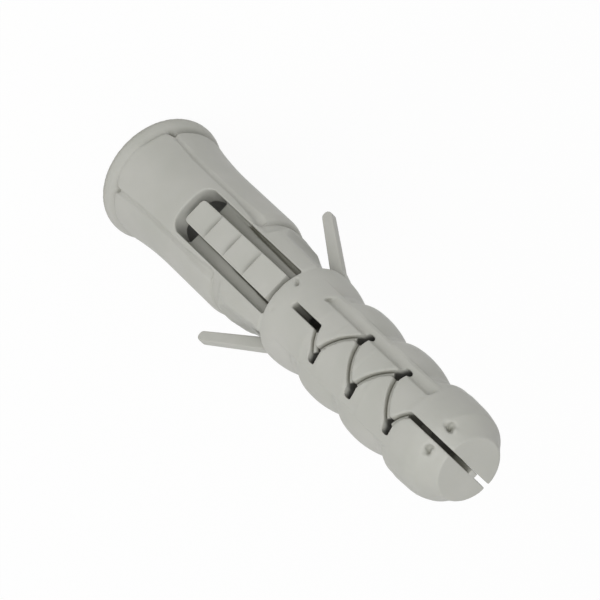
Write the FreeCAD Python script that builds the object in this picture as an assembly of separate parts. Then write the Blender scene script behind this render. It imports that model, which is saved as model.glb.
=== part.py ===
"""Universal expansion plug (wall anchor), moulded in one piece of nylon.

The plug stands on its collar: +Z runs along the axis from the mouth to the tip, z = 0 is the
collar's face, the front locking tongue faces -Y and the wings lie in the XZ plane.
Right is +X and left is -X. All sizes are in millimetres.

The moulding is divided where the real one flexes or changes its job: the collar, the two cheeks
and rails of the sleeve and the crown stay still, while the tongues, the wings and the two
expansion jaws swing on living hinges. Each hinge line lies on the outer surface of its web, so
every point of the root face moves away from its seat when the piece swings out.
"""
import FreeCAD, Part
import math
import os

Vec = FreeCAD.Vector
ORIGIN = Vec(0, 0, 0)
AXIS_X = Vec(1, 0, 0)
AXIS_Y = Vec(0, 1, 0)
AXIS_Z = Vec(0, 0, 1)

REACH = 20.0                 # half extent of cutting tools that pass right through

# Collar and sleeve
COLLAR_R = 5.85              # rim that stops the plug at the wall face
LIP_EDGE = 0.12              # bevel on the rim
LIP_RIM_Z = 0.45             # the rim's widest part ends here
LIP_FOOT_R = 5.68            # the lip leans in to its foot
LIP_FOOT_Z = 0.95
CREASE_R = 5.32              # bottom of the crease between the lip and the flare
CREASE_Z = 1.3
LIP_HEIGHT = 1.62            # the flare starts here
FLARE_R = 5.5                # sleeve radius at the flare's start
SLEEVE_R = 4.95              # fits the 10 mm hole
FLARE_END_Z = 8.5            # the flare runs out into the plain sleeve here
CHEEK_END_Z = 15.9           # stepped rim where the sleeve ends
LEFT_VALLEY_ANGLE = 40.5     # flutes lie this far each side of the front and the back
RIGHT_VALLEY_ANGLE = 38.0
VALLEY_WIDTH = 0.64
VALLEY_DEPTH = 0.25
VALLEY_MOUTH_WIDTH = 1.5     # the flute opens out at the stepped rim
VALLEY_MOUTH_DEPTH = 0.42
VALLEY_MOUTH_Z = 13.0
VALLEY_HEAD_DEPTH = 0.5      # small pit at the flute's head under the lip
VALLEY_HEAD_LENGTH = 0.5

# Screw channel
MOUTH_R = 3.2                # straight guide for the screw
MOUTH_CHAMFER = 0.4
GUIDE_END_Z = 9.8
CHANNEL_R = 2.2              # channel beside the tongues
CHANNEL_START_Z = 12.2
CHANNEL_END_Z = 26.0         # the flat-sided taper into the jaws starts here
TAPER_START_HALF_WIDTH = 1.55
TAPER_END_HALF_WIDTH = 0.7

# Windows and ledges beside the tongues
WINDOW_START_Z = 9.95
WINDOW_HALF_WIDTH = 2.38
WINDOW_CORNER_R = 1.0
COLLAR_END_Z = WINDOW_START_Z + WINDOW_CORNER_R
LEDGE_START_Z = 11.45
LEDGE_LEVEL = 2.9            # height of the ledge above the axis
SLIT_CLEARANCE = 0.15        # thin slit that frees the tongue from the ledge
DRAIN_WIDTH = 0.2            # grooves in the ledges widen from this
LEFT_DRAIN_END_WIDTH = 0.5   # along the window's left wall
RIGHT_DRAIN_END_WIDTH = 0.5  # along the tongue's right side
DRAIN_DEPTH = 0.8

# Neck between the sleeve and the crown
NECK_HALF_WIDTH = 4.8        # the neck is a little wider than deep
NECK_HALF_DEPTH = 4.52
WAIST_START_Z = 18.15        # the sides fall away from here to clear the wings
WAIST_END_Z = 19.7
WAIST_HALF_WIDTH = 3.6
WAIST_HOLLOW = 0.25          # how far the falling side is hollowed
POCKET_START_Z = 21.6        # shallow pocket that clears each wing's root
POCKET_HALF_WIDTH = 0.6
POCKET_FLOOR_X = 3.2

# Locking tongues
TONGUE_START_Z = 10.95
TONGUE_END_Z = 23.85
TONGUE_TIP_HALF_WIDTH = 1.23
TONGUE_ROOT_HALF_WIDTH = 1.32
TONGUE_CORNER_R = 0.45
TONGUE_LEVEL = 4.78          # crest of the saw teeth above the axis
TOOTH_DEPTH = 0.62
TOOTH_COUNT = 4
TONGUE_STEM_HALF_WIDTH = 0.85  # narrow stem between the ledges, under the toothed head
TONGUE_HINGE_Z = 24.3

# Wings, which differ a little from side to side
WING_REACH = 7.25            # axis to the centre of either wing's tip
RIGHT_WING_ROOT_X = 3.9
RIGHT_WING_LENGTH = 7.1      # between the centres of its round ends
LEFT_WING_ROOT_X = 4.4
LEFT_WING_LENGTH = 6.0
WING_ROOT_GAP = 0.05
WING_ROOT_WIDTH = 1.15
WING_TIP_WIDTH = 0.95
WING_THICKNESS = 0.85

# Crown and expansion jaws
CROWN_Z = 24.65
CROWN_R = 4.5
LOBE_R = 4.45                # crest of the barbed lobes
NOTCH_R = 3.87               # root of the notches between the lobes
FIRST_NOTCH_Z = 28.5
LOBE_PITCH = 6.5
LOBE_COUNT = 2
STRIP_R = 4.36               # plain strip in front and behind that carries the saw line
STRIP_HALF_WIDTH = 3.2
STRIP_START_Z = 25.4         # the strip grows out of the crown
GROOVE_START_Z = 28.9
GROOVE_INNER_X = 1.88
GROOVE_APEX_X = 2.15
GROOVE_APEX_LEVEL = 3.3      # bottom of the side grooves above the axis
GROOVE_OUTER_X = 2.95
GROOVE_OUTER_LEVEL = 3.2
PIT_R = 0.22                 # round start of each side groove

# Tip
TIP_START_Z = FIRST_NOTCH_Z + LOBE_COUNT * LOBE_PITCH
TIP_LENGTH = 8.0
LENGTH = TIP_START_Z + TIP_LENGTH   # collar face to tip face
TIP_SHOULDER_R = 4.42
TIP_SHOULDER_RISE = 3.1      # last notch to the tip's widest place
TIP_SHOULDER_Z = TIP_START_Z + TIP_SHOULDER_RISE
TIP_TAPER_R = 4.22
TIP_NOSE_LENGTH = 1.7        # the steep cone that ends in the tip's face
TIP_TAPER_Z = LENGTH - TIP_NOSE_LENGTH
TIP_FACE_R = 2.97
TIP_EASE = 0.14              # the tip's profile turns in small bevels of about this size
TIP_EASE_LENGTH = 0.7        # how far below the widest place the first bevel starts
GROOVE_END_GAP = 0.2         # the side grooves stop this far below the widest place
GROOVE_END_Z = TIP_SHOULDER_Z - GROOVE_END_GAP
CHANNEL_TIP_RISE = 2.5       # the channel closes this far above the last notch
CHANNEL_TIP_Z = TIP_START_Z + CHANNEL_TIP_RISE
DIMPLE_R = 0.48
LEFT_DIMPLE_X = -1.55
RIGHT_DIMPLE_X = 1.05
DIMPLE_INSET = 1.25          # centres of the tip's dimples below the tip's face
DIMPLE_Z = LENGTH - DIMPLE_INSET
DIMPLE_DEPTH = 0.3

# Saw line that parts the jaws
SLOT_Z = 27.0
SLOT_END_Z = 30.8
SLOT_WIDTH = 0.6
SAW_WIDTH = 0.52             # clear width of the parting line
SAW_AMPLITUDE = 1.87
SAW_BOW = 0.058              # rise of each curved flank as a share of its chord
FIRST_VERTEX_Z = 32.15
VERTEX_PITCH = 2.83
VERTEX_COUNT = 5
LAST_FLANK_RISE = 1.45
VERTEX_HOLE_LENGTH = 1.1
VERTEX_HOLE_WIDTH = 0.82
TIP_SLIT_WIDTH = 0.44

# Tear webs and the tie that hold the jaws together until the screw parts them
WEB_DEPTH = 0.42             # recess of the web under the strip
WEB_THICKNESS = 0.5
WEB_CLEARANCE = 0.05
WEB_START_SHARE = 0.14       # part of each flank, measured along its curve
WEB_END_SHARE = 0.86
SLIT_WEB_LENGTH = 1.15       # web across the start of the tip slit
TIE_THICKNESS = 0.5
TIE_HEIGHT = 0.5


def revolved(outline):
    """Turn a closed outline of edges in the XZ half plane round the axis."""
    face = Part.Face(Part.Wire(outline))
    return face.revolve(ORIGIN, AXIS_Z, 360)


def line(start, end):
    """Edge between two (radius, height) points in the XZ plane."""
    return Part.LineSegment(Vec(start[0], 0, start[1]), Vec(end[0], 0, end[1])).toShape()


def arc(start, middle, end):
    """Arc through three (radius, height) points in the XZ plane."""
    points = [Vec(p[0], 0, p[1]) for p in (start, middle, end)]
    return Part.Arc(*points).toShape()


def chain(points):
    """Closed chain of straight edges in the XZ plane."""
    return [line(a, b) for a, b in zip(points, points[1:] + points[:1])]


def block(x_range, y_range, z_range):
    """Box between two limits along each axis."""
    size = [high - low for low, high in (x_range, y_range, z_range)]
    corner = Vec(x_range[0], y_range[0], z_range[0])
    return Part.makeBox(size[0], size[1], size[2], corner)


def slab(bottom, top):
    """Everything between two heights."""
    return block((-REACH, REACH), (-REACH, REACH), (bottom, top))


def through_y(outline, depth=REACH):
    """Prism along Y, both ways, of a closed outline in the XZ plane."""
    face = Part.Face(Part.Wire(outline))
    face.translate(Vec(0, -depth, 0))
    return face.extrude(Vec(0, 2 * depth, 0))


def mirror_x(shape):
    """The other side of the plug."""
    return shape.mirror(ORIGIN, AXIS_X)


def mirror_y(shape):
    """The same form at the other face of the plug."""
    return shape.mirror(ORIGIN, AXIS_Y)


def fuse_all(shapes):
    """One shape of several that touch or overlap."""
    return shapes[0].multiFuse(shapes[1:]).removeSplitter()


def square_wire(half, z):
    """Square outline round the axis at one height."""
    corners = [Vec(-half, -half, z), Vec(half, -half, z), Vec(half, half, z), Vec(-half, half, z)]
    return Part.makePolygon(corners + corners[:1])


def channel():
    """Screw channel: round to the crown, then flat-sided and closing in the tip."""
    points = [
        (0, -1),
        (MOUTH_R + MOUTH_CHAMFER + 1, -1),
        (MOUTH_R, MOUTH_CHAMFER),
        (MOUTH_R, GUIDE_END_Z),
        (CHANNEL_R, CHANNEL_START_Z),
        (CHANNEL_R, CHANNEL_END_Z),
        (0, CHANNEL_END_Z),
    ]
    low = square_wire(TAPER_START_HALF_WIDTH, CHANNEL_END_Z)
    high = square_wire(TAPER_END_HALF_WIDTH, CHANNEL_TIP_Z)
    taper = Part.makeLoft([low, high], True, True)
    return fuse_all([revolved(chain(points)), taper])


def window():
    """Opening for a tongue, right through the sleeve, with round corners at the collar end."""
    w = WINDOW_HALF_WIDTH
    r = WINDOW_CORNER_R
    bend = r * (1 - math.sqrt(0.5))
    low = WINDOW_START_Z
    outline = [
        line((-w + r, low), (w - r, low)),
        arc((w - r, low), (w - bend, low + bend), (w, low + r)),
        line((w, low + r), (w, CROWN_Z)),
        line((w, CROWN_Z), (-w, CROWN_Z)),
        line((-w, CROWN_Z), (-w, low + r)),
        arc((-w, low + r), (-w + bend, low + bend), (-w + r, low)),
    ]
    return through_y(outline)


def flare_bend():
    """Radius of the hollow arc that leads from the plain sleeve out to the lip."""
    rise = FLARE_R - SLEEVE_R
    return ((FLARE_END_Z - LIP_HEIGHT) ** 2 + rise ** 2) / (2 * rise)


def sleeve_radius(z):
    """Outer radius of the sleeve under the lip."""
    if z >= FLARE_END_Z:
        return SLEEVE_R
    bend = flare_bend()
    return SLEEVE_R + bend - math.sqrt(bend ** 2 - (FLARE_END_Z - z) ** 2)


def valleys():
    """Four V flutes that follow the flare and divide the sleeve into panels."""
    head = LIP_HEIGHT + VALLEY_HEAD_LENGTH
    middle = (head + FLARE_END_Z) / 2
    stations = [
        (CREASE_Z, VALLEY_HEAD_DEPTH, VALLEY_WIDTH),
        (head, VALLEY_DEPTH, VALLEY_WIDTH),
        (middle, VALLEY_DEPTH, VALLEY_WIDTH),
        (FLARE_END_Z, VALLEY_DEPTH, VALLEY_WIDTH),
        (VALLEY_MOUTH_Z, VALLEY_DEPTH, VALLEY_WIDTH),
        (CHEEK_END_Z, VALLEY_MOUTH_DEPTH, VALLEY_MOUTH_WIDTH),
    ]
    sections = []
    for z, depth, width in stations:
        floor = sleeve_radius(z) - depth
        outer = sleeve_radius(z) + 1
        half = width / 2 * (outer - floor) / depth
        corners = [Vec(floor, 0, z), Vec(outer, -half, z), Vec(outer, half, z)]
        sections.append(Part.makePolygon(corners + corners[:1]))
    flute = Part.makeLoft(sections, True, True)
    tools = []
    for turn in (-LEFT_VALLEY_ANGLE, RIGHT_VALLEY_ANGLE):
        tool = flute.copy()
        tool.rotate(ORIGIN, AXIS_Z, turn - 90)
        tools += [tool, mirror_y(tool)]
    return Part.makeCompound(tools)


def collar(tools):
    """Lip and flared mouth of the sleeve."""
    middle = (LIP_HEIGHT + FLARE_END_Z) / 2
    outline = [
        line((0, 0), (COLLAR_R - LIP_EDGE, 0)),
        line((COLLAR_R - LIP_EDGE, 0), (COLLAR_R, LIP_EDGE)),
        line((COLLAR_R, LIP_EDGE), (COLLAR_R, LIP_RIM_Z)),
        line((COLLAR_R, LIP_RIM_Z), (LIP_FOOT_R, LIP_FOOT_Z)),
        line((LIP_FOOT_R, LIP_FOOT_Z), (CREASE_R, CREASE_Z)),
        line((CREASE_R, CREASE_Z), (FLARE_R, LIP_HEIGHT)),
        arc((FLARE_R, LIP_HEIGHT), (sleeve_radius(middle), middle), (SLEEVE_R, FLARE_END_Z)),
        line((SLEEVE_R, FLARE_END_Z), (SLEEVE_R, COLLAR_END_Z)),
        line((SLEEVE_R, COLLAR_END_Z), (0, COLLAR_END_Z)),
        line((0, COLLAR_END_Z), (0, 0)),
    ]
    return revolved(outline).cut(tools["valleys"]).cut(tools["channel"]).cut(tools["window"])


def cheeks(tools):
    """Left and right outer shells of the sleeve, one each side of the windows."""
    height = CHEEK_END_Z - COLLAR_END_Z
    shell = Part.makeCylinder(SLEEVE_R, height, Vec(0, 0, COLLAR_END_Z))
    for name in ("channel", "window", "valleys"):
        shell = shell.cut(tools[name])
    left, right = sorted(shell.Solids, key=lambda s: s.CenterOfMass.x)
    return left, right


def waist():
    """Hollow cut that thins the neck's right side and clears the wing's root."""
    start = (NECK_HALF_WIDTH, WAIST_START_Z)
    end = (WAIST_HALF_WIDTH, WAIST_END_Z)
    inward = start[0] - end[0]
    rise = end[1] - start[1]
    share = WAIST_HOLLOW / math.hypot(inward, rise)
    middle = ((start[0] + end[0]) / 2 - rise * share, (start[1] + end[1]) / 2 - inward * share)
    fall = through_y([
        arc(start, middle, end),
        line(end, (WAIST_HALF_WIDTH, CROWN_Z)),
        line((WAIST_HALF_WIDTH, CROWN_Z), (REACH, CROWN_Z)),
        line((REACH, CROWN_Z), (REACH, WAIST_START_Z)),
        line((REACH, WAIST_START_Z), start),
    ])
    across = (-POCKET_HALF_WIDTH, POCKET_HALF_WIDTH)
    return fuse_all([fall, block((POCKET_FLOOR_X, REACH), across, (POCKET_START_Z, CROWN_Z))])


def drain(x, end_width):
    """Groove in a front ledge that widens towards the crown from its straight left side."""
    corners = [(x, LEDGE_START_Z), (x + DRAIN_WIDTH, LEDGE_START_Z), (x + end_width, CROWN_Z), (x, CROWN_Z)]
    drained = block((-REACH, REACH), (-LEDGE_LEVEL, DRAIN_DEPTH - LEDGE_LEVEL), (0, CROWN_Z))
    return through_y(chain(corners)).common(drained)


def rails(tools):
    """Left and right rails of the neck with the ledges that run back beside the tongues."""
    section = Part.Ellipse(Vec(0, 0, CHEEK_END_Z), NECK_HALF_WIDTH, NECK_HALF_DEPTH).toShape()
    neck = Part.Face(Part.Wire([section])).extrude(Vec(0, 0, CROWN_Z - CHEEK_END_Z))
    neck = neck.cut(waist()).cut(mirror_x(waist())).cut(tools["window"])
    inner = TONGUE_STEM_HALF_WIDTH + SLIT_CLEARANCE
    ledge = block((inner, WINDOW_HALF_WIDTH), (-LEDGE_LEVEL, LEDGE_LEVEL), (LEDGE_START_Z, CROWN_Z))
    neck = fuse_all([neck, ledge, mirror_x(ledge)]).cut(tools["channel"])
    for tool in (drain(-WINDOW_HALF_WIDTH, LEFT_DRAIN_END_WIDTH), drain(inner, RIGHT_DRAIN_END_WIDTH)):
        neck = neck.cut(tool).cut(mirror_y(tool))
    left, right = sorted(neck.Solids, key=lambda s: s.CenterOfMass.x)
    return left, right


def tongue(tools):
    """Front locking tongue: a narrow stem under a head with saw teeth that face the collar."""
    tip = TONGUE_TIP_HALF_WIDTH
    root = TONGUE_ROOT_HALF_WIDTH
    r = TONGUE_CORNER_R
    bend = r * (1 - math.sqrt(0.5))
    low = TONGUE_START_Z
    top = TONGUE_HINGE_Z
    plan = through_y([
        line((-tip + r, low), (tip - r, low)),
        arc((tip - r, low), (tip - bend, low + bend), (tip, low + r)),
        line((tip, low + r), (root, top)),
        line((root, top), (-root, top)),
        line((-root, top), (-tip, low + r)),
        arc((-tip, low + r), (-tip + bend, low + bend), (-tip + r, low)),
    ])
    pitch = (TONGUE_END_Z - TONGUE_START_Z) / TOOTH_COUNT
    levels = [(0, low)]
    for tooth in range(TOOTH_COUNT):
        levels.append((TONGUE_LEVEL, low + tooth * pitch))
        levels.append((TONGUE_LEVEL - TOOTH_DEPTH, low + (tooth + 1) * pitch))
    levels += [(LEDGE_LEVEL, top), (0, top)]
    points = [Vec(-REACH, -level, height) for level, height in levels]
    side = Part.Face(Part.makePolygon(points + points[:1])).extrude(Vec(2 * REACH, 0, 0))
    shoulder = LEDGE_LEVEL + SLIT_CLEARANCE
    beside = block((TONGUE_STEM_HALF_WIDTH, REACH), (-shoulder, 0), (0, LENGTH))
    return plan.common(side).cut(tools["channel"]).cut(beside).cut(mirror_x(beside))


def tongue_hinge(tools):
    """Thin web that joins the front tongue to the crown."""
    half = TONGUE_STEM_HALF_WIDTH
    web = block((-half, half), (-LEDGE_LEVEL, 0), (TONGUE_HINGE_Z, CROWN_Z))
    return web.cut(tools["channel"])


def wing(root_x, length):
    """Right-hand wing: a flat tapered bar with round ends, swept back to the collar."""
    angle = math.degrees(math.asin((WING_REACH - root_x) / length))
    root_r = WING_ROOT_WIDTH / 2
    tip_r = WING_TIP_WIDTH / 2
    lean = math.asin((root_r - tip_r) / length)
    side = math.cos(lean)
    rise = math.sin(lean)
    outline = [
        line((root_r * side, -root_r * rise), (tip_r * side, -length - tip_r * rise)),
        arc((tip_r * side, -length - tip_r * rise),
            (0, -length - tip_r),
            (-tip_r * side, -length - tip_r * rise)),
        line((-tip_r * side, -length - tip_r * rise), (-root_r * side, -root_r * rise)),
        arc((-root_r * side, -root_r * rise), (0, root_r), (root_r * side, -root_r * rise)),
    ]
    bar = through_y(outline, WING_THICKNESS / 2)
    bar.rotate(ORIGIN, AXIS_Y, -angle)
    bar.translate(Vec(root_x, 0, CROWN_Z - WING_ROOT_GAP - root_r))
    return bar


def lobed_body():
    """Crown, barbed lobes and tip as one turned form with the plain strips added."""
    shoulder = (CROWN_R, CROWN_Z)
    notch = (NOTCH_R, FIRST_NOTCH_Z)
    crown_mid = (LOBE_R, (CROWN_Z + FIRST_NOTCH_Z) / 2 - 0.3)
    outline = [line((0, CROWN_Z), shoulder), arc(shoulder, crown_mid, notch)]
    for lobe in range(LOBE_COUNT):
        crest = (LOBE_R, notch[1] + LOBE_PITCH / 2 - 0.25)
        next_notch = (NOTCH_R, notch[1] + LOBE_PITCH)
        outline.append(arc(notch, crest, next_notch))
        notch = next_notch
    corners = [
        notch,
        (TIP_SHOULDER_R - TIP_EASE, TIP_SHOULDER_Z - TIP_EASE_LENGTH),
        (TIP_SHOULDER_R, TIP_SHOULDER_Z),
        (TIP_TAPER_R + TIP_EASE, (TIP_SHOULDER_Z + TIP_TAPER_Z) / 2 + TIP_EASE),
        (TIP_TAPER_R, TIP_TAPER_Z),
        (TIP_FACE_R, LENGTH),
        (0, LENGTH),
        (0, CROWN_Z),
    ]
    outline += [line(a, b) for a, b in zip(corners, corners[1:])]
    run = TIP_SHOULDER_Z - STRIP_START_Z
    rod = Part.makeCylinder(STRIP_R, run, Vec(0, 0, STRIP_START_Z))
    width = STRIP_HALF_WIDTH
    band = block((-width, width), (-REACH, REACH), (FIRST_NOTCH_Z - 1, TIP_START_Z))
    strip = rod.common(block((-width, width), (-REACH, REACH), (STRIP_START_Z, TIP_SHOULDER_Z)))
    return fuse_all([revolved(outline).cut(band.cut(rod)), strip])


def side_grooves():
    """V groove along the left edge of the front and back strips, with a round start."""
    corners = [
        Vec(GROOVE_INNER_X, -COLLAR_R, GROOVE_START_Z),
        Vec(GROOVE_INNER_X, -STRIP_R, GROOVE_START_Z),
        Vec(GROOVE_APEX_X, -GROOVE_APEX_LEVEL, GROOVE_START_Z),
        Vec(GROOVE_OUTER_X, -GROOVE_OUTER_LEVEL, GROOVE_START_Z),
        Vec(GROOVE_OUTER_X, -COLLAR_R, GROOVE_START_Z),
    ]
    run = GROOVE_END_Z - GROOVE_START_Z
    groove = Part.Face(Part.makePolygon(corners + corners[:1])).extrude(Vec(0, 0, run))
    pit_start = Vec(GROOVE_APEX_X, -GROOVE_APEX_LEVEL, GROOVE_START_Z)
    pit = Part.makeCylinder(PIT_R, COLLAR_R, pit_start, -AXIS_Y)
    front = mirror_x(fuse_all([groove, pit]))
    return Part.makeCompound([front, mirror_y(front)])


def vertices():
    """Corners of the saw line as (x, z), from the slot's end to the tip slit."""
    points = [(0, SLOT_END_Z)]
    for index in range(VERTEX_COUNT):
        side = 1 if index % 2 == 0 else -1
        points.append((side * SAW_AMPLITUDE, FIRST_VERTEX_Z + index * VERTEX_PITCH))
    points.append((0, points[-1][1] + LAST_FLANK_RISE))
    return points


def flank(start, end, inner_gap, outer_gap, first_share=0.0, last_share=1.0):
    """Curved band between two corners, bowed towards the collar.

    The gaps are how far the band reaches inside and outside its centre line.
    """
    across = end[0] - start[0]
    rise = end[1] - start[1]
    chord = math.hypot(across, rise)
    bow = SAW_BOW * chord
    radius = (chord ** 2 / 4 + bow ** 2) / (2 * bow)
    side = 1 if across > 0 else -1
    normal = (-side * rise / chord, abs(across) / chord)
    centre = (
        (start[0] + end[0]) / 2 + normal[0] * (radius - bow),
        (start[1] + end[1]) / 2 + normal[1] * (radius - bow),
    )
    half_turn = math.asin(chord / 2 / radius)
    turns = [half_turn * (2 * share - 1) for share in (first_share, last_share)]
    middle = sum(turns) / 2

    def at(distance, turn):
        along = distance * math.sin(turn)
        down = distance * math.cos(turn)
        x = centre[0] + along * across / chord - down * normal[0]
        return x, centre[1] + along * rise / chord - down * normal[1]

    inner = radius - inner_gap
    outer = radius + outer_gap
    return [
        arc(at(inner, turns[0]), at(inner, middle), at(inner, turns[1])),
        line(at(inner, turns[1]), at(outer, turns[1])),
        arc(at(outer, turns[1]), at(outer, middle), at(outer, turns[0])),
        line(at(outer, turns[0]), at(inner, turns[0])),
    ]


def parting():
    """Everything that is open between the jaws: slot, saw line, corner holes and tip slit."""
    half = SAW_WIDTH / 2
    points = vertices()
    slot = block((-SLOT_WIDTH / 2, SLOT_WIDTH / 2), (-REACH, REACH), (SLOT_Z, SLOT_END_Z + half))
    tools = [slot]
    for start, end in zip(points, points[1:]):
        tools.append(through_y(flank(start, end, half, half)))
    reach = VERTEX_HOLE_LENGTH / 2
    width = VERTEX_HOLE_WIDTH / 2
    for x, z in points[1:-1]:
        tools.append(block((x - reach, x + reach), (-REACH, REACH), (z - width, z + width)))
    slit = TIP_SLIT_WIDTH / 2
    tools.append(block((-slit, slit), (-REACH, REACH), (points[-1][1] - half, LENGTH + 1)))
    return fuse_all(tools)


def dimples():
    """Small round flat-bottomed hollows in the tip."""
    slope = (TIP_TAPER_R - TIP_FACE_R) / (LENGTH - TIP_TAPER_Z)
    surface = TIP_TAPER_R - (DIMPLE_Z - TIP_TAPER_Z) * slope
    tools = []
    for x in (LEFT_DIMPLE_X, RIGHT_DIMPLE_X):
        level = math.sqrt(surface ** 2 - x ** 2)
        floor = Vec(x, DIMPLE_DEPTH - level, DIMPLE_Z)
        front = Part.makeCylinder(DIMPLE_R, COLLAR_R, floor, -AXIS_Y)
        tools += [front, mirror_y(front)]
    return Part.makeCompound(tools)


def tear_web():
    """Front webs: one thin strip in each flank of the saw line and one in the tip slit."""
    half = SAW_WIDTH / 2
    outer_level = STRIP_R - WEB_DEPTH
    strips = []
    corners = vertices()
    for start, end in zip(corners, corners[1:]):
        rising = end[0] > start[0]
        gaps = (half - WEB_CLEARANCE, half) if rising else (half, half - WEB_CLEARANCE)
        outline = flank(start, end, gaps[0], gaps[1], WEB_START_SHARE, WEB_END_SHARE)
        face = Part.Face(Part.Wire(outline))
        face.translate(Vec(0, -REACH, 0))
        strips.append(face.extrude(Vec(0, REACH, 0)))
    slit = TIP_SLIT_WIDTH / 2
    slit_start = corners[-1][1] + half
    slit_range = (slit_start, slit_start + SLIT_WEB_LENGTH)
    strips.append(block((WEB_CLEARANCE - slit, slit), (-REACH, 0), slit_range))
    ring = Part.makeCylinder(outer_level, LENGTH)
    ring = ring.cut(Part.makeCylinder(outer_level - WEB_THICKNESS, LENGTH))
    return Part.makeCompound([strip.common(ring) for strip in strips])


def tip_tie():
    """Small tie across the middle of the tip slit."""
    half = TIP_SLIT_WIDTH / 2
    reach = TIE_THICKNESS / 2
    return block((-half, half), (-reach, reach), (LENGTH - TIE_HEIGHT, LENGTH))


def build():
    """Every node of the plug by name."""
    tools = {
        "channel": channel(),
        "window": window(),
        "valleys": valleys(),
    }
    nodes = {"collar": collar(tools)}
    nodes["left_cheek"], nodes["right_cheek"] = cheeks(tools)
    nodes["left_rail"], nodes["right_rail"] = rails(tools)

    nodes["front_tongue"] = tongue(tools)
    nodes["rear_tongue"] = mirror_y(nodes["front_tongue"])
    nodes["front_tongue_hinge"] = tongue_hinge(tools)
    nodes["rear_tongue_hinge"] = mirror_y(nodes["front_tongue_hinge"])

    nodes["right_wing"] = wing(RIGHT_WING_ROOT_X, RIGHT_WING_LENGTH)
    nodes["left_wing"] = mirror_x(wing(LEFT_WING_ROOT_X, LEFT_WING_LENGTH))

    body = lobed_body().cut(tools["channel"]).cut(side_grooves()).cut(dimples())
    nodes["crown"] = body.common(slab(CROWN_Z, SLOT_Z))
    jaws = body.common(slab(SLOT_Z, LENGTH)).cut(parting())
    nodes["left_jaw"], nodes["right_jaw"] = sorted(jaws.Solids, key=lambda s: s.CenterOfMass.x)

    nodes["front_tear_web"] = tear_web()
    nodes["rear_tear_web"] = mirror_y(nodes["front_tear_web"])
    nodes["tip_tie"] = tip_tie()
    return nodes


os.makedirs("parts", exist_ok=True)
for node, shape in build().items():
    shape.exportStep("parts/" + node + ".step")
    print(node, len(shape.Solids), round(shape.Volume, 3), shape.isValid())
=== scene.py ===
"""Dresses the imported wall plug: softened nylon mouldings, moulded detail, floor, light and camera."""
import bpy
import bmesh
import math
import numpy as np
from mathutils import Matrix, Vector


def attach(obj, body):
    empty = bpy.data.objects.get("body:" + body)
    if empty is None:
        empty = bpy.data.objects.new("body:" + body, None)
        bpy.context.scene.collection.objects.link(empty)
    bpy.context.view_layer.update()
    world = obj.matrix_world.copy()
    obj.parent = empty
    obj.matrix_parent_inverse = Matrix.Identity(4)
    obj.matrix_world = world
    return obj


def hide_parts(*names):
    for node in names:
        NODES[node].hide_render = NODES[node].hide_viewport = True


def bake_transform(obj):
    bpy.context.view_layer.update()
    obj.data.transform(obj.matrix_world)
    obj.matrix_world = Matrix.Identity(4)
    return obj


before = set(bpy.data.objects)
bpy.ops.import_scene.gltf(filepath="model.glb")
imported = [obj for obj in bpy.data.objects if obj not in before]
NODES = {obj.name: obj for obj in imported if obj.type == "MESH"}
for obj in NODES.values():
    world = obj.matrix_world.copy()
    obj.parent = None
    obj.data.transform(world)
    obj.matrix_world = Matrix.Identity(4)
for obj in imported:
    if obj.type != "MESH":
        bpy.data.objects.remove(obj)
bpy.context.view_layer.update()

MM = 0.001

# ---------------------------------------------------------------- camera
VIEW_CENTRE = Vector((0, 0, 25 * MM))            # the point on the axis that the camera turns about
VIEW_TILT = math.radians(45.0)                   # from square-on to the front, towards the tip
AXIS_SLOPE = math.radians(-43.4)                 # how the plug's axis runs across the view
CAMERA_DISTANCE = 326 * MM
VIEW_WIDTH = 49.7925 * MM                        # what the view takes in at the plug's middle
CENTRE_OFFSET = Vector((0.6805, -1.444)) * MM    # the plug's middle, right of and above the view's
SENSOR_WIDTH = 36.0                              # of the camera, in its own millimetres
CLIP_START = 10 * MM


def add_camera():
    """Look at the front from beyond the tip, rolled so that the plug lies across the view."""
    toward_tip = Vector((0, math.sin(VIEW_TILT), math.cos(VIEW_TILT)))
    back = Vector((0, -math.cos(VIEW_TILT), math.sin(VIEW_TILT)))
    side = Vector((1, 0, 0))
    right = math.cos(AXIS_SLOPE) * toward_tip + math.sin(AXIS_SLOPE) * side
    up = math.sin(AXIS_SLOPE) * toward_tip - math.cos(AXIS_SLOPE) * side
    place = VIEW_CENTRE + back * CAMERA_DISTANCE - right * CENTRE_OFFSET.x - up * CENTRE_OFFSET.y
    data = bpy.data.cameras.new("camera")
    data.sensor_width = SENSOR_WIDTH
    data.lens = SENSOR_WIDTH * CAMERA_DISTANCE / VIEW_WIDTH
    data.clip_start = CLIP_START
    camera = bpy.data.objects.new("camera", data)
    turn = Matrix((right, up, back)).transposed().to_4x4()
    camera.matrix_world = Matrix.Translation(place) @ turn
    bpy.context.scene.collection.objects.link(camera)
    bpy.context.scene.camera = camera


add_camera()

# ---------------------------------------------------------------- light and floor
LAMPS = (                                  # name, place, width across, watts
    ("key", (0.36, -0.21, 0.46), 0.16, 0.30),
    ("fill", (0.12, -0.335, 0.470), 0.40, 1.77),
)
WHITE = (1.0, 1.0, 1.0, 1.0)
STUDIO_LIGHT = 0.58
FLOOR_PAINT = (0.86, 0.86, 0.85, 1.0)
FLOOR_ROUGHNESS = 0.9
FLOOR_GLOW_SHARE = 0.93                    # the rest is plain paint, which takes the shadow
FLOOR_HALF_WIDTH = 3.0


def add_lamp(name, place, size, energy):
    """A round area lamp that faces the plug's middle."""
    data = bpy.data.lights.new(name, "AREA")
    data.shape = "DISK"
    data.size = size
    data.energy = energy
    light = bpy.data.objects.new(name, data)
    light.location = place
    light.rotation_euler = (VIEW_CENTRE - Vector(place)).to_track_quat("-Z", "Y").to_euler()
    bpy.context.scene.collection.objects.link(light)


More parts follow.
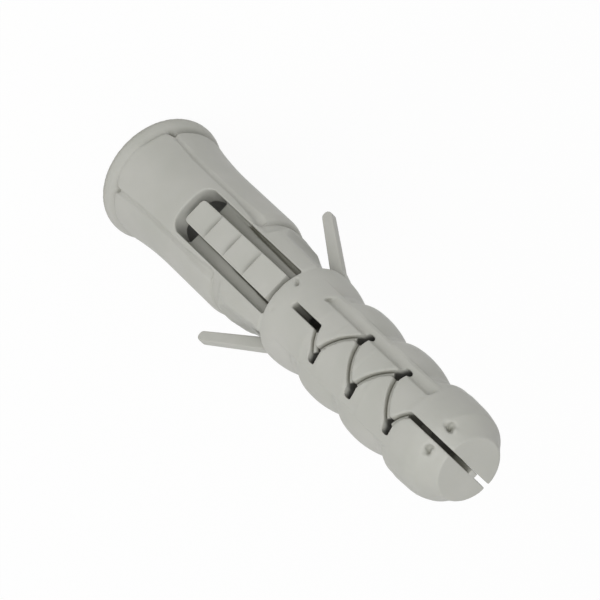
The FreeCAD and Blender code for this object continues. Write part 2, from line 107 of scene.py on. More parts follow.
def add_studio():
    """Even white light from all round, with a white background behind the plug."""
    world = bpy.data.worlds.new("studio")
    world.use_nodes = True
    tree = world.node_tree
    light = tree.nodes["Background"]
    light.inputs["Color"].default_value = WHITE
    light.inputs["Strength"].default_value = STUDIO_LIGHT
    backdrop = tree.nodes.new("ShaderNodeBackground")
    backdrop.inputs["Color"].default_value = WHITE
    backdrop.inputs["Strength"].default_value = 1.0
    path = tree.nodes.new("ShaderNodeLightPath")
    mix = tree.nodes.new("ShaderNodeMixShader")
    tree.links.new(path.outputs["Is Camera Ray"], mix.inputs["Fac"])
    tree.links.new(light.outputs["Background"], mix.inputs[1])
    tree.links.new(backdrop.outputs["Background"], mix.inputs[2])
    tree.links.new(mix.outputs["Shader"], tree.nodes["World Output"].inputs["Surface"])
    bpy.context.scene.world = world


def floor_material():
    """Pale floor: white to the eye, with a share of plain paint that keeps the shadow."""
    material = bpy.data.materials.new("pale_floor")
    material.use_nodes = True
    tree = material.node_tree
    paint = tree.nodes["Principled BSDF"]
    paint.inputs["Base Color"].default_value = FLOOR_PAINT
    paint.inputs["Roughness"].default_value = FLOOR_ROUGHNESS
    glow = tree.nodes.new("ShaderNodeEmission")
    glow.inputs["Strength"].default_value = 1.0
    path = tree.nodes.new("ShaderNodeLightPath")
    seen = tree.nodes.new("ShaderNodeMath")
    seen.operation = "MAXIMUM"
    share = tree.nodes.new("ShaderNodeMath")
    share.operation = "MULTIPLY"
    share.inputs[1].default_value = FLOOR_GLOW_SHARE
    mix = tree.nodes.new("ShaderNodeMixShader")
    tree.links.new(path.outputs["Is Camera Ray"], seen.inputs[0])
    tree.links.new(path.outputs["Is Glossy Ray"], seen.inputs[1])
    tree.links.new(seen.outputs[0], share.inputs[0])
    tree.links.new(share.outputs[0], mix.inputs["Fac"])
    tree.links.new(paint.outputs["BSDF"], mix.inputs[1])
    tree.links.new(glow.outputs["Emission"], mix.inputs[2])
    tree.links.new(mix.outputs["Shader"], tree.nodes["Material Output"].inputs["Surface"])
    return material


def add_floor():
    """A wide pale floor that the plug stands on."""
    mesh = bpy.data.meshes.new("floor")
    size = FLOOR_HALF_WIDTH
    corners = [(-size, -size, 0), (size, -size, 0), (size, size, 0), (-size, size, 0)]
    mesh.from_pydata(corners, [], [(0, 1, 2, 3)])
    floor = bpy.data.objects.new("floor", mesh)
    bpy.context.scene.collection.objects.link(floor)
    mesh.materials.append(floor_material())


add_studio()
for lamp in LAMPS:
    add_lamp(*lamp)
add_floor()

# ---------------------------------------------------------------- nylon
NYLON_TINTS = ((0.3, (0.397, 0.399, 0.363, 1.0)), (0.7, (0.434, 0.431, 0.400, 1.0)))
# Painted shade: the colour is darkened in the creases, by how closed in each point is.
PAINTED_CREASE_SHADE = ((0.05, (0.34, 0.33, 0.27, 1.0)), (0.35, (0.73, 0.73, 0.70, 1.0)), (0.95, WHITE))
CREASE_SHADE_WIDTH = 0.9 * MM
CREASE_SHADE_SAMPLES = 8
PAINTED_CREASE_GLOW = 0.03                         # painted light: a faint glow inside a crease, for light that the nylon passes on there
PAINTED_CREASE_GLOW_END = 0.6                      # openness from which no painted glow is seen
PAINTED_CREASE_GLOW_TINT = (1.0, 0.96, 0.79, 1.0)
CLOUD_SCALE = 210.0
GRAIN_SCALE = 4200.0
GRAIN_HEIGHT = 0.03 * MM
GRAIN_STRENGTH = 0.15
# Painted shade in the deep cuts: the colour darkens with depth below the skin.
SKIN_LEVELS = (3.88, 4.03)                 # radius under which a cut counts as deep: in the left
SKIN_STEP_X = (-1.95, -1.75)               # groove, and to the right of it, in millimetres
CUT_DEPTH = 0.35                           # a cut is darkest from this far below the skin
CUT_SHADE = 0.7                            # share of the colour that is lost there
CUT_HALF_WIDTH = (2.7, 2.9)                # the cuts' shade fades out over these stretches
CUT_START_Z = (26.9, 27.2)
CUT_END_Z = (47.0, 47.4)


def deep_shade(tree, place):
    """Painted shade in the slot, the saw line and the slit: the share of colour kept, 1 on the skin, less
    below it.
    """
    def ranged(value, limits, start, end):
        """The value's place between two limits in millimetres, as a number from start to end."""
        made = tree.nodes.new("ShaderNodeMapRange")
        settings = {"From Min": limits[0] * MM, "From Max": limits[1] * MM, "To Min": start, "To Max": end}
        for key, number in settings.items():
            made.inputs[key].default_value = number
        tree.links.new(value, made.inputs["Value"])
        return made.outputs["Result"]

    def maths(operation, a, b=None):
        """The result of one sum on sockets or numbers."""
        made = tree.nodes.new("ShaderNodeMath")
        made.operation = operation
        for socket, value in zip(made.inputs, (a, b)):
            if isinstance(value, bpy.types.NodeSocket):
                tree.links.new(value, socket)
            elif value is not None:
                socket.default_value = value
        return made.outputs[0]

    parts = tree.nodes.new("ShaderNodeSeparateXYZ")
    tree.links.new(place, parts.inputs[0])
    x, y, z = parts.outputs
    across = maths("ABSOLUTE", x)
    radius = maths("SQRT", maths("ADD", maths("MULTIPLY", x, x), maths("MULTIPLY", y, y)))
    skin = ranged(x, SKIN_STEP_X, SKIN_LEVELS[0] * MM, SKIN_LEVELS[1] * MM)
    amount = ranged(maths("SUBTRACT", skin, radius), (0.0, CUT_DEPTH), 0.0, CUT_SHADE)
    fades = ((across, CUT_HALF_WIDTH, 1, 0), (z, CUT_START_Z, 0, 1), (z, CUT_END_Z, 1, 0))
    for value, limits, start, end in fades:
        amount = maths("MULTIPLY", amount, ranged(value, limits, start, end))
    return maths("SUBTRACT", 1.0, amount)


def ramp(tree, stops):
    """A colour ramp with a colour at each of its places."""
    made = tree.nodes.new("ShaderNodeValToRGB")
    elements = made.color_ramp.elements
    for element, (position, colour) in zip(elements, (stops[0], stops[-1])):
        element.position = position
        element.color = colour
    for position, colour in stops[1:-1]:
        elements.new(position).color = colour
    return made


def noise(tree, place, scale, detail):
    """Noise laid on the piece's own coordinates."""
    made = tree.nodes.new("ShaderNodeTexNoise")
    made.inputs["Scale"].default_value = scale
    made.inputs["Detail"].default_value = detail
    tree.links.new(place, made.inputs["Vector"])
    return made


def nylon_material():
    """Light warm grey moulded nylon, fine matt, with faint clouding and grain; shade is painted into its
    creases and deep cuts, and a faint glow is painted into its creases.
    """
    material = bpy.data.materials.new("nylon")
    material.use_nodes = True
    tree = material.node_tree
    shader = tree.nodes["Principled BSDF"]
    shader.inputs["IOR"].default_value = 1.5
    shader.inputs["Roughness"].default_value = 0.52
    shader.inputs["Specular IOR Level"].default_value = 0.35
    shader.inputs["Subsurface Weight"].default_value = 0.06
    shader.inputs["Subsurface Radius"].default_value = (0.9, 0.8, 0.6)
    shader.inputs["Subsurface Scale"].default_value = 0.5 * MM
    shader.inputs["Emission Color"].default_value = PAINTED_CREASE_GLOW_TINT
    place = tree.nodes.new("ShaderNodeTexCoord").outputs["Object"]
    cloud = noise(tree, place, CLOUD_SCALE, 3.0)
    grain = noise(tree, place, GRAIN_SCALE, 2.0)
    tint = ramp(tree, NYLON_TINTS)
    # Painted shade: ambient occlusion finds the creases, and the ramp darkens their colour.
    crease = tree.nodes.new("ShaderNodeAmbientOcclusion")
    crease.samples = CREASE_SHADE_SAMPLES
    crease.inputs["Distance"].default_value = CREASE_SHADE_WIDTH
    depth = ramp(tree, PAINTED_CREASE_SHADE)
    shade = tree.nodes.new("ShaderNodeMix")
    shade.data_type = "RGBA"
    shade.blend_type = "MULTIPLY"
    shade.inputs["Factor"].default_value = 1.0
    colours = [socket for socket in shade.inputs if socket.type == "RGBA"]
    shaded = [socket for socket in shade.outputs if socket.type == "RGBA"][0]
    darkened = tree.nodes.new("ShaderNodeVectorMath")
    darkened.operation = "SCALE"
    # Painted light: the nylon glows faintly where ambient occlusion finds a crease.
    glow = tree.nodes.new("ShaderNodeMapRange")
    glow.inputs["From Max"].default_value = PAINTED_CREASE_GLOW_END
    glow.inputs["To Min"].default_value = PAINTED_CREASE_GLOW
    glow.inputs["To Max"].default_value = 0.0
    bump = tree.nodes.new("ShaderNodeBump")
    bump.inputs["Strength"].default_value = GRAIN_STRENGTH
    bump.inputs["Distance"].default_value = GRAIN_HEIGHT
    tree.links.new(cloud.outputs["Fac"], tint.inputs["Fac"])
    tree.links.new(crease.outputs["AO"], depth.inputs["Fac"])
    tree.links.new(tint.outputs["Color"], colours[0])
    tree.links.new(depth.outputs["Color"], colours[1])
    tree.links.new(shaded, darkened.inputs[0])
    tree.links.new(deep_shade(tree, place), darkened.inputs["Scale"])
    tree.links.new(darkened.outputs["Vector"], shader.inputs["Base Color"])
    tree.links.new(crease.outputs["AO"], glow.inputs["Value"])
    tree.links.new(glow.outputs["Result"], shader.inputs["Emission Strength"])
    tree.links.new(grain.outputs["Fac"], bump.inputs["Height"])
    tree.links.new(bump.outputs["Normal"], shader.inputs["Normal"])
    return material


NYLON = nylon_material()
for node in NODES.values():                # the loaded nodes wear it too, under the pieces
    node.data.materials.clear()
    node.data.materials.append(NYLON)

# ---------------------------------------------------------------- saw line, in millimetres
SLOT_END_Z = 30.8
SAW_AMPLITUDE = 1.87
SAW_BOW = 0.058              # rise of each curved flank as a share of its chord
FIRST_VERTEX_Z = 32.15
VERTEX_PITCH = 2.83
LAST_VERTEX_Z = FIRST_VERTEX_Z + 4 * VERTEX_PITCH
SLIT_START_Z = LAST_VERTEX_Z + 1.45
SLIT_WEB_END_Z = SLIT_START_Z + 1.35
SLIT_WEB_SINK = 1.3          # the slit's web lies this far below the others

# ---------------------------------------------------------------- turned forms, in millimetres
COLLAR_R = 5.85
LIP_RIM_Z = 0.45             # the lip's widest part ends here
LIP_FOOT_R = 5.68
LIP_FOOT_Z = 0.95
CREASE_R = 5.32
CREASE_Z = 1.3
LIP_END_Z = 1.62
FLARE_R = 5.5
FLARE_END_Z = 8.5
SLEEVE_R = 4.95
SLEEVE_END_Z = 15.9
WAIST_START_Z = 18.15        # the neck's sides fall away from here
CROWN_Z = 24.65
CROWN_R = 4.5
CROWN_CREST_LEAD = 0.3       # the crown is widest this far before its middle
NOTCH_R = 3.87
LOBE_R = 4.45
LOBE_CREST_LEAD = 0.25
FIRST_NOTCH_Z = 28.5
LOBE_PITCH = 6.5
LOBE_COUNT = 2
NOT_TURNED = 99.0            # stands for the radius where no form is turned
STRIP_R = 4.36
STRIP_START_Z = 25.4
STRIP_END_Z = 44.6
STRIP_HALF_WIDTH = 3.2
STRIP_BLEND = 0.05           # softness of the line where the strip grows out of the crown
HINGE_Z = 27.0               # the jaws' hinge lines cross the plug here
SKIN = 0.05                  # how far a facet may lie under the turned form


def arc_through(a, b, c):
    """Centre and radius of the circle through three (radius, height) points."""
    ax, az = a
    bx, bz = b
    cx, cz = c
    d = 2 * (ax * (bz - cz) + bx * (cz - az) + cx * (az - bz))
    a2 = ax * ax + az * az
    b2 = bx * bx + bz * bz
    c2 = cx * cx + cz * cz
    x = (a2 * (bz - cz) + b2 * (cz - az) + c2 * (az - bz)) / d
    z = (a2 * (cx - bx) + b2 * (ax - cx) + c2 * (bx - ax)) / d
    return x, z, math.hypot(ax - x, az - z)


def arc_radius(circle, z, side):
    """Distance from the plug's axis to the circle at each height, on its outer or inner side."""
    x, centre_z, radius = circle
    return x + side * np.sqrt(np.maximum(radius ** 2 - (z - centre_z) ** 2, 0))


def turned_radius(z):
    """Outer radius of the plug at each height, without the strips."""
    bend = ((FLARE_END_Z - LIP_END_Z) ** 2 + (FLARE_R - SLEEVE_R) ** 2) / (2 * (FLARE_R - SLEEVE_R))
    flare = (SLEEVE_R + bend, FLARE_END_Z, bend)
    crown_crest = (LOBE_R, (CROWN_Z + FIRST_NOTCH_Z) / 2 - CROWN_CREST_LEAD)
    crown = arc_through((CROWN_R, CROWN_Z), crown_crest, (NOTCH_R, FIRST_NOTCH_Z))
    radius = np.full(len(z), NOT_TURNED)
    radius[z < LIP_RIM_Z] = COLLAR_R
    profile = ((COLLAR_R, LIP_RIM_Z), (LIP_FOOT_R, LIP_FOOT_Z), (CREASE_R, CREASE_Z), (FLARE_R, LIP_END_Z))
    for (near_r, near_z), (far_r, far_z) in zip(profile, profile[1:]):
        part = (z >= near_z) & (z < far_z)
        radius[part] = near_r + (far_r - near_r) * (z[part] - near_z) / (far_z - near_z)
    part = (z > LIP_END_Z) & (z <= FLARE_END_Z)
    radius[part] = arc_radius(flare, z[part], -1)
    radius[(z > FLARE_END_Z) & (z < SLEEVE_END_Z)] = SLEEVE_R
    part = (z >= CROWN_Z) & (z < FIRST_NOTCH_Z)
    radius[part] = arc_radius(crown, z[part], 1)
    for lobe in range(LOBE_COUNT):
        low = FIRST_NOTCH_Z + lobe * LOBE_PITCH
        high = low + LOBE_PITCH
        crest = (LOBE_R, low + LOBE_PITCH / 2 - LOBE_CREST_LEAD)
        circle = arc_through((NOTCH_R, low), crest, (NOTCH_R, high))
        part = (z >= low) & (z < high)
        radius[part] = arc_radius(circle, z[part], 1)
    return radius


def true_up(points):
    """Move points that lie on facets of a turned surface onto the true surface."""
    x, y, z = points.T
    radius = np.hypot(x, y)
    turned = turned_radius(z)
    on_strip = (np.abs(x) < STRIP_HALF_WIDTH) & (z > STRIP_START_Z) & (z < STRIP_END_Z)
    merged = STRIP_BLEND * np.logaddexp(turned / STRIP_BLEND, STRIP_R / STRIP_BLEND)
    target = np.where(on_strip, merged, turned)
    near = np.abs(radius - target) < SKIN
    points[near, 0] *= target[near] / radius[near]
    points[near, 1] *= target[near] / radius[near]
    return points


# ---------------------------------------------------------------- softened mouldings
SAME_PLACE = 1e-7            # points of a loaded node closer than this, in metres, are one
ON_CUT = 1e-5                # and on a cut this, in millimetres


def read_points(mesh):
    """The mesh's points, one in each row."""
    points = np.empty(len(mesh.vertices) * 3)
    mesh.vertices.foreach_get("co", points)
    return points.reshape(-1, 3)


def write_points(mesh, points):
    """Move the mesh's points to the given places."""
    mesh.vertices.foreach_set("co", points.ravel())
    mesh.update()


def joined_copy(names, scale):
    """One mesh of several nodes, each merged first, at another scale."""
    bm = bmesh.new()
    for name in names:
        part = bmesh.new()
        part.from_mesh(NODES[name].data)
        bmesh.ops.remove_doubles(part, verts=part.verts, dist=SAME_PLACE)
        mesh = bpy.data.meshes.new("part")
        part.to_mesh(mesh)
        part.free()
        bm.from_mesh(mesh)
        bpy.data.meshes.remove(mesh)
    bmesh.ops.scale(bm, vec=(scale, scale, scale), verts=bm.verts)
    mesh = bpy.data.meshes.new("joined")
    bm.to_mesh(mesh)
    bm.free()
    return mesh


def with_modifier(mesh, kind, **settings):
    """The mesh after one modifier."""
    piece = bpy.data.objects.new("work", mesh)
    bpy.context.scene.collection.objects.link(piece)
    modifier = piece.modifiers.new(kind.lower(), kind)
    for key, value in settings.items():
        setattr(modifier, key, value)
    bpy.context.view_layer.update()
    evaluated = piece.evaluated_get(bpy.context.evaluated_depsgraph_get())
    made = bpy.data.meshes.new_from_object(evaluated)
    bpy.data.objects.remove(piece)
    bpy.data.meshes.remove(mesh)
    return made


def softened(mesh, grid, passes):
    """Closed skin of the mesh in millimetres, with its edges eased as a mould leaves them."""
    skin = with_modifier(mesh, "REMESH", mode="VOXEL", voxel_size=grid, adaptivity=0.0)
    write_points(skin, true_up(read_points(skin)))
    return with_modifier(skin, "SMOOTH", factor=0.5, iterations=passes)


def opened(mesh):
    """The mesh, ready for edits."""
    bm = bmesh.new()
    bm.from_mesh(mesh)
    return bm


def cut_between(mesh, low, high):
    """The closed slice of a mesh between two heights, either of which may be None."""
    bm = opened(mesh)
    for height, up in ((low, 1), (high, -1)):
        if height is None:
            continue
        everything = bm.verts[:] + bm.edges[:] + bm.faces[:]
        cut = bmesh.ops.bisect_plane(
            bm, geom=everything, plane_co=(0, 0, height), plane_no=(0, 0, up),
            clear_inner=True, dist=ON_CUT)
        edges = [e for e in cut["geom_cut"] if isinstance(e, bmesh.types.BMEdge) and e.is_boundary]
        for edge in edges:
            edge.smooth = False
        bmesh.ops.triangle_fill(bm, edges=edges, use_beauty=True, normal=(0, 0, -up))
    return bm


def side_of(bm, side):
    """Keep only the loose parts whose middle lies on one side of the plug."""
    unseen = set(bm.verts)
    doomed = []
    while unseen:
        start = unseen.pop()
        part = [start]
        for vert in part:
            for edge in vert.link_edges:
                other = edge.other_vert(vert)
                if other in unseen:
                    unseen.remove(other)
                    part.append(other)
        if side * sum(vert.co.x for vert in part) < 0:
            doomed += part
    bmesh.ops.delete(bm, geom=doomed, context="VERTS")
    return bm


def finished(bm, name):
    """A new piece in metres from a mesh in millimetres."""
    bmesh.ops.scale(bm, vec=(MM, MM, MM), verts=bm.verts)
    made = bpy.data.meshes.new(name)
    bm.to_mesh(made)
    bm.free()
    return add_piece(name, made)


def add_piece(name, mesh):
    """A finished piece of nylon at the origin, smooth shaded."""
    mesh.name = name
    mesh.materials.clear()
    mesh.materials.append(NYLON)
    mesh.shade_smooth()
    piece = bpy.data.objects.new(name, mesh)
    bpy.context.scene.collection.objects.link(piece)
    return piece


# ---------------------------------------------------------------- collar, neck and jaws
GRID = 0.11
FINE_GRID = 0.065
BODY_EASING = 5              # how many times the edges of each moulding are smoothed
TONGUE_EASING = 4
WING_EASING = 7
SEAM_Z = HINGE_Z + 0.2       # the sleeve's moulding and the jaws' mouldings meet here
COLLAR_SEAM_Z = 12.0

# Hollows in the front and the back: degrees from the middle towards the right side, height,
# reach around and along the plug, depth.
HOLLOWS = (
    (19.3, 25.45, 0.22, 0.22, 0.08),       # dents beside the tongues' hinges
    (-22.0, 25.18, 0.12, 0.14, 0.22),
    (-19.8, 25.42, 0.14, 0.16, 0.32),
    (-17.8, 25.62, 0.16, 0.16, 0.34),
    (38.0, 1.62, 0.22, 0.20, 0.30),        # heads of the sleeve's flutes
    (-40.5, 1.66, 0.26, 0.26, 0.65),
    (54.0, 18.9, 0.35, 0.40, 0.18),        # start of the neck's right side
    (-88.0, 16.98, 2.7, 0.13, 0.20),       # line under the sleeve's end on the left
    (20.5, 47.95, 0.26, 0.17, 0.32),       # dimples in the tip, steep towards the sleeve
    (14.0, 48.38, 0.30, 0.30, -0.22),
    (-20.5, 47.88, 0.22, 0.18, 0.40),
    (-25.0, 48.50, 0.22, 0.24, -0.16),
)
CREASES = (                                # under the lip: end degrees, height, reach, depth
    (-105.0, -34.0, 1.58, 0.28, 0.42),     # deep and broad on the left
    (-18.0, 34.0, 1.30, 0.28, -0.18),      # nearly gone in front
    (70.0, 110.0, 1.75, 0.34, 0.14),
)
NOTCHES = (                                # round the sides only: height, reach, depth
    (29.60, 0.60, 0.32),
    (35.95, 0.55, 0.24),
    (42.45, 0.45, 0.18),
    (43.60, 0.45, -0.12),
)
CREASE_FADE = 12                           # degrees over which a crease runs out
NOTCH_FADE = 0.4                           # width over which a notch grows beside the strip
HOLLOW_FLOOR_R = 3.3                       # the channel's wall stays as it is
DRAWN_START_Z = 13.0                       # the sleeve is drawn out from here
RIM_Z = 16.9                               # and its end comes to lie here
RIM_SHIFT = (                              # heights before and after
    (DRAWN_START_Z, SLEEVE_END_Z, WAIST_START_Z),
    (DRAWN_START_Z, RIM_Z, WAIST_START_Z),
)
RIM_DROP = (0.30, 0.20)                    # how far its edge falls in, left and right
RIM_POWER = 1.3                            # 1 would be a plain taper
RIM_START_X = 2.5                          # it falls in beside the windows only
RIM_FADE = 0.35
LEFT_NECK = (                              # heights, and what the half width gains there
    (RIM_Z, 18.1, 18.6, 19.0, 22.0, 23.0),
    (-0.31, -0.28, 0.20, 0.19, 0.08, 0),
)
RIGHT_NECK = (
    (RIM_Z, 18.0, 18.6, 19.0, 21.0, 23.5),
    (-0.18, -0.17, 0.30, 0.43, 0.32, 0),
)
NECK_START_X = 2.6                         # the change grows from here outwards
NECK_FADE = 0.6
NOSE_START_Z = 46.6                        # the nose is hollowed a little from here
NOSE_END_Z = 50.1
NOSE_LEAN = (0.03, 0.075)                  # share of the width taken off halfway, left and right
CORNER_COUNT = 5
CORNER_HOLE_R = 0.45
CORNER_HOLE_EASE = 0.12                    # how far a hole's wall is pushed out
CORNER_HOLE_REACH = 0.3
NEARLY_ZERO = 1e-6


def shape_neck(points):
    """Draw out and taper the sleeve's end, and trim the neck behind it."""
    x, y, z = points.T.copy()
    on_sleeve = (z > RIM_SHIFT[0][0]) & (z < RIM_SHIFT[0][-1])
    new_z = np.where(on_sleeve, np.interp(z, *RIM_SHIFT), z)
    radius = np.hypot(x, y)
    part = np.clip((new_z - SLEEVE_END_Z) / (RIM_Z - SLEEVE_END_Z), 0, 1)
    beside = np.clip((np.abs(x) - RIM_START_X) / RIM_FADE, 0, 1)
    drop = np.where(x < 0, *RIM_DROP) * beside * part ** RIM_POWER * (new_z < RIM_Z)
    change = np.where(x < 0, np.interp(new_z, *LEFT_NECK), np.interp(new_z, *RIGHT_NECK))
    outer = np.clip((np.abs(x) - NECK_START_X) / NECK_FADE, 0, 1) * (new_z > RIM_Z) * (new_z < CROWN_Z)
    points[:, 0] = x * (1 - drop / radius) + np.sign(x) * outer * change
    points[:, 1] = y * (1 - drop / radius)
    points[:, 2] = new_z
    return points


def open_corner_holes(points):
    """Ease the round holes at the saw line's corners a little wider."""
    x, y, z = points.T.copy()
    for corner in range(CORNER_COUNT):
        side = 1 if corner % 2 == 0 else -1
        across = x - side * SAW_AMPLITUDE
        along = z - (FIRST_VERTEX_Z + corner * VERTEX_PITCH)
        reach = np.maximum(np.hypot(across, along), NEARLY_ZERO)
        push = CORNER_HOLE_EASE * np.exp(-(((reach - CORNER_HOLE_R) / CORNER_HOLE_REACH) ** 2)) / reach
        points[:, 0] += push * across
        points[:, 2] += push * along
    return points


def press_hollows(points):
    """Push the outer skin in at the hollows, creases and notches, and hollow the nose."""
    x, y, z = points.T
    radius = np.maximum(np.hypot(x, y), NEARLY_ZERO)
    angle = np.degrees(np.arctan2(x, np.abs(y)))
    depth = np.zeros(len(points))
    for centre, height, around, along, amount in HOLLOWS:
        offset = np.radians(angle - centre) * radius
        depth += amount * np.exp(-((offset / around) ** 2) - ((z - height) / along) ** 2)
    for start, end, height, along, amount in CREASES:
        ends = np.clip((angle - start) / CREASE_FADE, 0, 1) * np.clip((end - angle) / CREASE_FADE, 0, 1)
        depth += amount * ends * np.exp(-(((z - height) / along) ** 2))
    beside = np.clip((np.abs(x) - STRIP_HALF_WIDTH) / NOTCH_FADE, 0, 1)
    for height, along, amount in NOTCHES:
        depth += amount * beside * np.exp(-(((z - height) / along) ** 2))
    along_nose = np.clip((z - NOSE_START_Z) / (NOSE_END_Z - NOSE_START_Z), 0, 1)
    lean = np.where(x < 0, *NOSE_LEAN) * np.sin(np.pi * along_nose) ** 2
    share = 1 - depth * (radius > HOLLOW_FLOOR_R) / radius - lean
    points[:, 0] *= share
    points[:, 1] *= share
    return points


def add_body_mouldings():
    """The plug's main moulding, made in one and divided in the sleeve and where the jaws begin."""
    sleeve = ["collar", "left_cheek", "right_cheek", "left_rail", "right_rail", "crown"]
    whole = softened(joined_copy(sleeve + ["left_jaw", "right_jaw"], 1 / MM), GRID, BODY_EASING)
    write_points(whole, press_hollows(open_corner_holes(shape_neck(read_points(whole)))))
    collar = finished(cut_between(whole, None, COLLAR_SEAM_Z), "collar_moulding")
    neck = finished(cut_between(whole, COLLAR_SEAM_Z, SEAM_Z), "neck_moulding")
    right = finished(side_of(cut_between(whole, SEAM_Z, None), 1), "right_jaw_moulding")
    left = finished(side_of(cut_between(whole, SEAM_Z, None), -1), "left_jaw_moulding")
    bpy.data.meshes.remove(whole)
    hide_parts("collar", "left_cheek", "right_cheek")
    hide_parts("left_rail", "right_rail", "crown")
    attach(collar, "sleeve")
    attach(neck, "sleeve")
    for piece, body in ((right, "right_jaw"), (left, "left_jaw")):
        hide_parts(body)
        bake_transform(piece)


add_body_mouldings()

# ---------------------------------------------------------------- tongues and wings
TONGUE_STEPS = (14.175, 17.4, 20.625)      # the saw teeth step up at these heights
VALLEY_FLOOR_Y = 3.6                       # only the teeth's skin beyond this is pressed
VALLEY_GAP = 0.03                          # a valley ends this far before its tooth
VALLEY_LEAD = 0.1                          # and is deepest this far before it
VALLEY_REACH = (0.70, 0.60)                # across and along
VALLEY_DEPTH = 0.36
WING_HINGE_Z = 24.025
WING_ROOTS = {                # hinge x; root's outer edge at the hinge and at its top; top z
    "right_wing": (3.9, 4.35, 4.35, 25.0),
    "left_wing": (-4.4, 4.93, 4.40, 26.0),
}
ROOT_INNER_X = 3.45
ROOT_HALF_DEPTH = 0.42


def press_valleys(points):
    """Deepen the middle of the valley before each tooth."""
    x, y, z = points.T
    for step in TONGUE_STEPS:
        before = (z < step - VALLEY_GAP) & (np.abs(y) > VALLEY_FLOOR_Y)
        along = (z - step + VALLEY_LEAD) / VALLEY_REACH[1]
        share = np.exp(-((x / VALLEY_REACH[0]) ** 2) - along ** 2)
        points[:, 1] -= np.sign(y) * VALLEY_DEPTH * share * before
    return points


def add_tongues():
    """The two toothed tongues with the webs that they bend on."""
    for tongue in ("front_tongue", "rear_tongue"):
        nodes = [tongue, tongue + "_hinge"]
        mesh = softened(joined_copy(nodes, 1 / MM), FINE_GRID, TONGUE_EASING)
        write_points(mesh, press_valleys(read_points(mesh)))
        piece = finished(opened(mesh), tongue + "_moulding")
        bpy.data.meshes.remove(mesh)
        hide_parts(*nodes)
        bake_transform(piece)


def add_wings():
    """The two swept wings, each grown out of the crown at its root."""
    for wing, (root_x, low_x, high_x, top_z) in WING_ROOTS.items():
        side = 1 if root_x > 0 else -1
        mesh = joined_copy([wing], 1 / MM)
        bm = opened(mesh)
        block = [(ROOT_INNER_X, WING_HINGE_Z), (low_x, WING_HINGE_Z), (high_x, top_z), (ROOT_INNER_X, top_z)]
        corners = [bm.verts.new((side * x, -ROOT_HALF_DEPTH, z)) for x, z in block]
        front = bm.faces.new(corners)
        grown = bmesh.ops.extrude_face_region(bm, geom=[front])["geom"]
        back = [item for item in grown if isinstance(item, bmesh.types.BMVert)]
        bmesh.ops.translate(bm, vec=(0, 2 * ROOT_HALF_DEPTH, 0), verts=back)
        bmesh.ops.recalc_face_normals(bm, faces=bm.faces)
        bm.to_mesh(mesh)
        bm.free()
        mesh = softened(mesh, FINE_GRID, WING_EASING)
        piece = finished(opened(mesh), wing + "_moulding")
        bpy.data.meshes.remove(mesh)
        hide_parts(wing)
        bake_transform(piece)


add_tongues()
add_wings()

# ---------------------------------------------------------------- tear webs
WEB_R = 0.26
WEB_LEVEL = 3.78             # the webs' centre lines lie this far from the axis
WEB_SHARE = (0.16, 0.84)     # part of each flank that its web fills
WEB_STEPS = 24
WEB_SIDES = 20


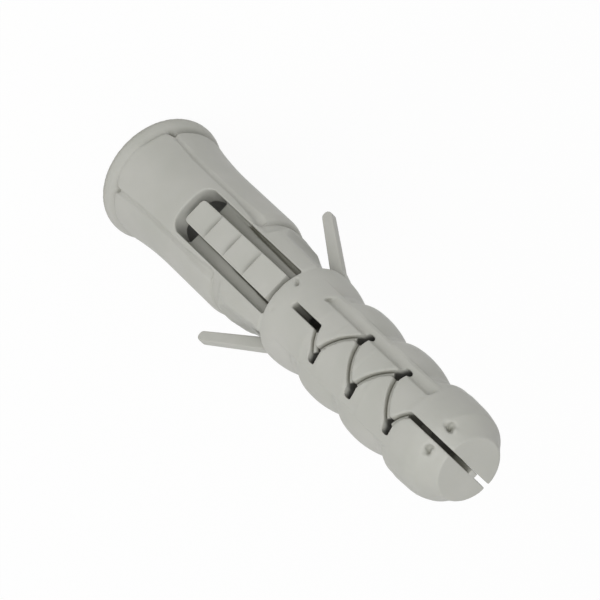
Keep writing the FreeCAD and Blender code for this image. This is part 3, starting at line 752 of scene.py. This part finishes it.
class WebNodes:
    """Geometry Nodes that lay round webs along the flanks of the saw line."""

    def __init__(self):
        self.group = bpy.data.node_groups.new("tear_webs", "GeometryNodeTree")
        self.settings = {}
        self.group.interface.new_socket("Geometry", in_out="OUTPUT", socket_type="NodeSocketGeometry")
        for name, value in (("Web Radius", WEB_R), ("Web Level", WEB_LEVEL), ("Pitch", VERTEX_PITCH)):
            socket = self.group.interface.new_socket(name, in_out="INPUT", socket_type="NodeSocketFloat")
            self.settings[socket.identifier] = value * MM
        self.asked = self.group.nodes.new("NodeGroupInput")
        self.made = self.group.nodes.new("NodeGroupOutput")

    def node(self, kind, links=(), **settings):
        """A new node with its inputs set or linked by name."""
        made = self.group.nodes.new(kind)
        for key, value in settings.items():
            setattr(made, key, value)
        for key, value in links:
            if isinstance(value, bpy.types.NodeSocket):
                self.group.links.new(value, made.inputs[key])
            else:
                made.inputs[key].default_value = value
        return made

    def maths(self, operation, a, b=0.0):
        """The result of one sum on sockets or numbers."""
        return self.node("ShaderNodeMath", [(0, a), (1, b)], operation=operation).outputs[0]

    def web(self, start, end, face, sink=0.0):
        """One web between two (x, z) corners, laid on the turned face: -1 in front, 1 behind."""
        across = end[0] - start[0]
        rise = end[1] - start[1]
        drop = 2 * SAW_BOW * abs(across)
        push = 2 * SAW_BOW * rise * (1 if across > 0 else -1)
        middle = ((start[0] + end[0]) / 2 + push * (across != 0), (start[1] + end[1]) / 2 - drop)
        ends = [(x * MM, 0, z * MM) for x, z in (start, middle, end)]
        path = self.node(
            "GeometryNodeCurveQuadraticBezier",
            [("Resolution", WEB_STEPS), ("Start", ends[0]), ("Middle", ends[1]), ("End", ends[2])])
        trimmed = self.node(
            "GeometryNodeTrimCurve",
            [("Curve", path.outputs[0]), ("Start", WEB_SHARE[0]), ("End", WEB_SHARE[1])])
        place = self.node("GeometryNodeInputPosition")
        parts = self.node("ShaderNodeSeparateXYZ", [(0, place.outputs[0])])
        level = self.asked.outputs["Web Level"]
        across_squared = self.maths("MULTIPLY", parts.outputs["X"], parts.outputs["X"])
        inside = self.maths("SUBTRACT", self.maths("MULTIPLY", level, level), across_squared)
        depth = self.maths("SUBTRACT", self.maths("SQRT", inside), sink * MM)
        depth = self.maths("MULTIPLY", depth, face)
        turned = self.node(
            "ShaderNodeCombineXYZ",
            [("X", parts.outputs["X"]), ("Y", depth), ("Z", parts.outputs["Z"])])
        laid = self.node(
            "GeometryNodeSetPosition",
            [("Geometry", trimmed.outputs[0]), ("Position", turned.outputs[0])])
        rim = self.node(
            "GeometryNodeCurvePrimitiveCircle",
            [("Resolution", WEB_SIDES), ("Radius", self.asked.outputs["Web Radius"])])
        swept = self.node(
            "GeometryNodeCurveToMesh",
            [("Curve", laid.outputs[0]), ("Profile Curve", rim.outputs[0]), ("Fill Caps", True)])
        return swept.outputs[0]

    def repeated(self, web, first_z, count):
        """Copies of one web at every second corner of the saw line."""
        step = self.maths("MULTIPLY", self.asked.outputs["Pitch"], 2.0)
        offset = self.node("ShaderNodeCombineXYZ", [("Z", step)])
        line = self.node(
            "GeometryNodeMeshLine",
            [("Count", count), ("Start Location", (0, 0, first_z * MM)), ("Offset", offset.outputs[0])])
        copies = self.node(
            "GeometryNodeInstanceOnPoints", [("Points", line.outputs[0]), ("Instance", web)])
        return copies.outputs[0]

    def finish(self, parts):
        """Join the parts into one real mesh of nylon."""
        joined = self.node("GeometryNodeJoinGeometry")
        for part in parts:
            self.group.links.new(part, joined.inputs[0])
        real = self.node("GeometryNodeRealizeInstances", [(0, joined.outputs[0])])
        smooth = self.node("GeometryNodeSetShadeSmooth", [(0, real.outputs[0])])
        dressed = self.node("GeometryNodeSetMaterial", [(0, smooth.outputs[0]), ("Material", NYLON)])
        self.group.links.new(dressed.outputs[0], self.made.inputs[0])


def add_tear_webs():
    """Round webs in every flank of the saw line and at the start of the tip slit."""
    reach = SAW_AMPLITUDE
    nodes = WebNodes()
    parts = []
    for face in (-1, 1):
        falling = nodes.web((reach, 0), (-reach, VERTEX_PITCH), face)
        rising = nodes.web((-reach, 0), (reach, VERTEX_PITCH), face)
        parts.append(nodes.repeated(falling, FIRST_VERTEX_Z, 2))
        parts.append(nodes.repeated(rising, FIRST_VERTEX_Z + VERTEX_PITCH, 2))
        parts.append(nodes.web((0, SLOT_END_Z), (reach, FIRST_VERTEX_Z), face))
        parts.append(nodes.web((reach, LAST_VERTEX_Z), (0, SLIT_START_Z), face))
        parts.append(nodes.web((0, SLIT_START_Z), (0, SLIT_WEB_END_Z), face, SLIT_WEB_SINK))
    nodes.finish(parts)
    holder = bpy.data.objects.new("web_maker", bpy.data.meshes.new("web_maker"))
    bpy.context.scene.collection.objects.link(holder)
    modifier = holder.modifiers.new("tear_webs", "NODES")
    modifier.node_group = nodes.group
    for identifier, value in nodes.settings.items():
        modifier[identifier] = value
    bpy.context.view_layer.update()
    evaluated = holder.evaluated_get(bpy.context.evaluated_depsgraph_get())
    mesh = bpy.data.meshes.new_from_object(evaluated)
    bpy.data.objects.remove(holder)
    piece = add_piece("tear_webs", mesh)
    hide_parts("front_tear_web", "rear_tear_web")
    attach(piece, "right_jaw")


add_tear_webs()

# ---------------------------------------------------------------- tip tie
TIE_LOW = Vector((-0.2, 0.3, 46.6))        # its two opposite corners
TIE_HIGH = Vector((0.32, 1.15, 49.49))
TIE_EDGE = 0.05
TIE_EDGE_STEPS = 2


def add_tip_tie():
    """Thin wall across the slit that holds the jaws' ends together."""
    bm = bmesh.new()
    middle = Matrix.Translation((TIE_LOW + TIE_HIGH) / 2)
    bmesh.ops.create_cube(bm, size=1.0, matrix=middle @ Matrix.Diagonal([*(TIE_HIGH - TIE_LOW), 1]))
    bmesh.ops.bevel(
        bm, geom=bm.edges[:], offset=TIE_EDGE, segments=TIE_EDGE_STEPS, affect="EDGES", profile=0.5)
    bmesh.ops.recalc_face_normals(bm, faces=bm.faces)
    piece = finished(bm, "tip_tie_moulding")
    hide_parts("tip_tie")
    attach(piece, "right_jaw")


add_tip_tie()

bpy.context.scene.view_settings.view_transform = "Standard"
